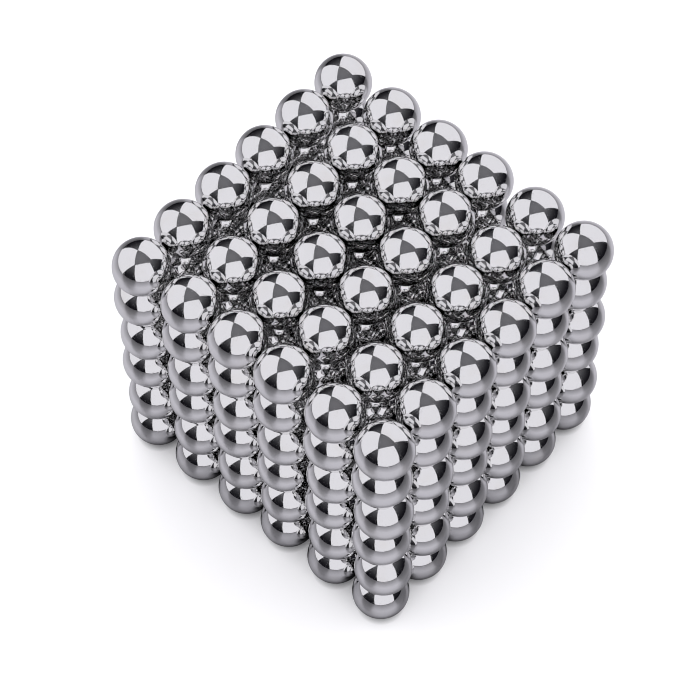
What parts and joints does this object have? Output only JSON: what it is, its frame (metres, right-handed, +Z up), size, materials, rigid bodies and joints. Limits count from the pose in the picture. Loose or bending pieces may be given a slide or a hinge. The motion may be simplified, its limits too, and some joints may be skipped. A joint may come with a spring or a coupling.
{
  "type": "magnetic ball cube",
  "caption": "Free-standing cube of loose plated magnet balls held together only by magnetism; layers lift off, rows slide out and the top layer curls into a tube.",
  "frame": {"origin": "on the surface it stands on, under the middle of the cube", "axes": "+Z up through the stacked layers, X along every row of balls, +Y from the front row of each layer to its back row"},
  "size_m": [0.0304, 0.0318, 0.0301],
  "materials": {
    "nickel_plating": "bright nickel plate over sintered magnet, barrel polished to a mirror"
  },
  "bodies": {
    "layer_1": {"layer_1_row_3": "nickel_plating", "layer_1_row_4": "nickel_plating"},
    "layer_2": {"layer_2_row_3": "nickel_plating", "layer_2_row_4": "nickel_plating"},
    "layer_3": {"layer_3_row_3": "nickel_plating", "layer_3_row_4": "nickel_plating"},
    "layer_4": {"layer_4_row_3": "nickel_plating", "layer_4_row_4": "nickel_plating"},
    "layer_5": {"layer_5_row_3": "nickel_plating", "layer_5_row_4": "nickel_plating"},
    "layer_6": {"layer_6_row_3": "nickel_plating", "layer_6_row_4": "nickel_plating"},
    "layer_1_row_1_balls": {"layer_1_row_1": "nickel_plating"},
    "layer_1_row_2_balls": {"layer_1_row_2": "nickel_plating"},
    "layer_1_row_5_balls": {"layer_1_row_5": "nickel_plating"},
    "layer_1_row_6_balls": {"layer_1_row_6": "nickel_plating"},
    "layer_2_row_1_balls": {"layer_2_row_1": "nickel_plating"},
    "layer_2_row_2_balls": {"layer_2_row_2": "nickel_plating"},
    "layer_2_row_5_balls": {"layer_2_row_5": "nickel_plating"},
    "layer_2_row_6_balls": {"layer_2_row_6": "nickel_plating"},
    "layer_3_row_1_balls": {"layer_3_row_1": "nickel_plating"},
    "layer_3_row_2_balls": {"layer_3_row_2": "nickel_plating"},
    "layer_3_row_5_balls": {"layer_3_row_5": "nickel_plating"},
    "layer_3_row_6_balls": {"layer_3_row_6": "nickel_plating"},
    "layer_4_row_1_balls": {"layer_4_row_1": "nickel_plating"},
    "layer_4_row_2_balls": {"layer_4_row_2": "nickel_plating"},
    "layer_4_row_5_balls": {"layer_4_row_5": "nickel_plating"},
    "layer_4_row_6_balls": {"layer_4_row_6": "nickel_plating"},
    "layer_5_row_1_balls": {"layer_5_row_1": "nickel_plating"},
    "layer_5_row_2_balls": {"layer_5_row_2": "nickel_plating"},
    "layer_5_row_5_balls": {"layer_5_row_5": "nickel_plating"},
    "layer_5_row_6_balls": {"layer_5_row_6": "nickel_plating"},
    "layer_6_row_2_balls": {"layer_6_row_2": "nickel_plating"},
    "layer_6_row_1_balls": {"layer_6_row_1": "nickel_plating"},
    "layer_6_row_5_balls": {"layer_6_row_5": "nickel_plating"},
    "layer_6_row_6_balls": {"layer_6_row_6": "nickel_plating"}
  },
  "joints": [
    {"name": "layer_2_lift", "type": "slide", "parent": "layer_1", "child": "layer_2", "axis": [0, 0, 1], "range_m": [0, 0.01]},
    {"name": "layer_3_lift", "type": "slide", "parent": "layer_2", "child": "layer_3", "axis": [0, 0, 1], "range_m": [0, 0.01]},
    {"name": "layer_4_lift", "type": "slide", "parent": "layer_3", "child": "layer_4", "axis": [0, 0, 1], "range_m": [0, 0.01]},
    {"name": "layer_5_lift", "type": "slide", "parent": "layer_4", "child": "layer_5", "axis": [0, 0, 1], "range_m": [0, 0.01]},
    {"name": "layer_6_lift", "type": "slide", "parent": "layer_5", "child": "layer_6", "axis": [0, 0, 1], "range_m": [0, 0.01]},
    {"name": "layer_1_row_1_slide", "type": "slide", "parent": "layer_1", "child": "layer_1_row_1_balls", "axis": [1, 0, 0], "range_m": [-0.01515, 0.01515]},
    {"name": "layer_1_row_2_slide", "type": "slide", "parent": "layer_1", "child": "layer_1_row_2_balls", "axis": [1, 0, 0], "range_m": [-0.01515, 0.01515]},
    {"name": "layer_1_row_5_slide", "type": "slide", "parent": "layer_1", "child": "layer_1_row_5_balls", "axis": [1, 0, 0], "range_m": [-0.01515, 0.01515]},
    {"name": "layer_1_row_6_slide", "type": "slide", "parent": "layer_1", "child": "layer_1_row_6_balls", "axis": [1, 0, 0], "range_m": [-0.01515, 0.01515]},
    {"name": "layer_2_row_1_slide", "type": "slide", "parent": "layer_2", "child": "layer_2_row_1_balls", "axis": [1, 0, 0], "range_m": [-0.01515, 0.01515]},
    {"name": "layer_2_row_2_slide", "type": "slide", "parent": "layer_2", "child": "layer_2_row_2_balls", "axis": [1, 0, 0], "range_m": [-0.01515, 0.01515]},
    {"name": "layer_2_row_5_slide", "type": "slide", "parent": "layer_2", "child": "layer_2_row_5_balls", "axis": [1, 0, 0], "range_m": [-0.01515, 0.01515]},
    {"name": "layer_2_row_6_slide", "type": "slide", "parent": "layer_2", "child": "layer_2_row_6_balls", "axis": [1, 0, 0], "range_m": [-0.01515, 0.01515]},
    {"name": "layer_3_row_1_slide", "type": "slide", "parent": "layer_3", "child": "layer_3_row_1_balls", "axis": [1, 0, 0], "range_m": [-0.01515, 0.01515]},
    {"name": "layer_3_row_2_slide", "type": "slide", "parent": "layer_3", "child": "layer_3_row_2_balls", "axis": [1, 0, 0], "range_m": [-0.01515, 0.01515]},
    {"name": "layer_3_row_5_slide", "type": "slide", "parent": "layer_3", "child": "layer_3_row_5_balls", "axis": [1, 0, 0], "range_m": [-0.01515, 0.01515]},
    {"name": "layer_3_row_6_slide", "type": "slide", "parent": "layer_3", "child": "layer_3_row_6_balls", "axis": [1, 0, 0], "range_m": [-0.01515, 0.01515]},
    {"name": "layer_4_row_1_slide", "type": "slide", "parent": "layer_4", "child": "layer_4_row_1_balls", "axis": [1, 0, 0], "range_m": [-0.01515, 0.01515]},
    {"name": "layer_4_row_2_slide", "type": "slide", "parent": "layer_4", "child": "layer_4_row_2_balls", "axis": [1, 0, 0], "range_m": [-0.01515, 0.01515]},
    {"name": "layer_4_row_5_slide", "type": "slide", "parent": "layer_4", "child": "layer_4_row_5_balls", "axis": [1, 0, 0], "range_m": [-0.01515, 0.01515]},
    {"name": "layer_4_row_6_slide", "type": "slide", "parent": "layer_4", "child": "layer_4_row_6_balls", "axis": [1, 0, 0], "range_m": [-0.01515, 0.01515]},
    {"name": "layer_5_row_1_slide", "type": "slide", "parent": "layer_5", "child": "layer_5_row_1_balls", "axis": [1, 0, 0], "range_m": [-0.01515, 0.01515]},
    {"name": "layer_5_row_2_slide", "type": "slide", "parent": "layer_5", "child": "layer_5_row_2_balls", "axis": [1, 0, 0], "range_m": [-0.01515, 0.01515]},
    {"name": "layer_5_row_5_slide", "type": "slide", "parent": "layer_5", "child": "layer_5_row_5_balls", "axis": [1, 0, 0], "range_m": [-0.01515, 0.01515]},
    {"name": "layer_5_row_6_slide", "type": "slide", "parent": "layer_5", "child": "layer_5_row_6_balls", "axis": [1, 0, 0], "range_m": [-0.01515, 0.01515]},
    {"name": "layer_6_row_2_curl", "type": "hinge", "parent": "layer_6", "child": "layer_6_row_2_balls", "pos_m": [-0.00004, -0.00269, 0.0276], "axis": [-1, 0, 0], "range_deg": [0, 60]},
    {"name": "layer_6_row_1_curl", "type": "hinge", "parent": "layer_6_row_2_balls", "child": "layer_6_row_1_balls", "pos_m": [-0.00004, -0.00822, 0.0276], "axis": [-1, 0, 0], "range_deg": [0, 60]},
    {"name": "layer_6_row_5_curl", "type": "hinge", "parent": "layer_6", "child": "layer_6_row_5_balls", "pos_m": [-0.00004, 0.00236, 0.0276], "axis": [1, 0, 0], "range_deg": [0, 60]},
    {"name": "layer_6_row_6_curl", "type": "hinge", "parent": "layer_6_row_5_balls", "child": "layer_6_row_6_balls", "pos_m": [-0.00004, 0.00758, 0.0276], "axis": [1, 0, 0], "range_deg": [0, 60]}
  ]
}
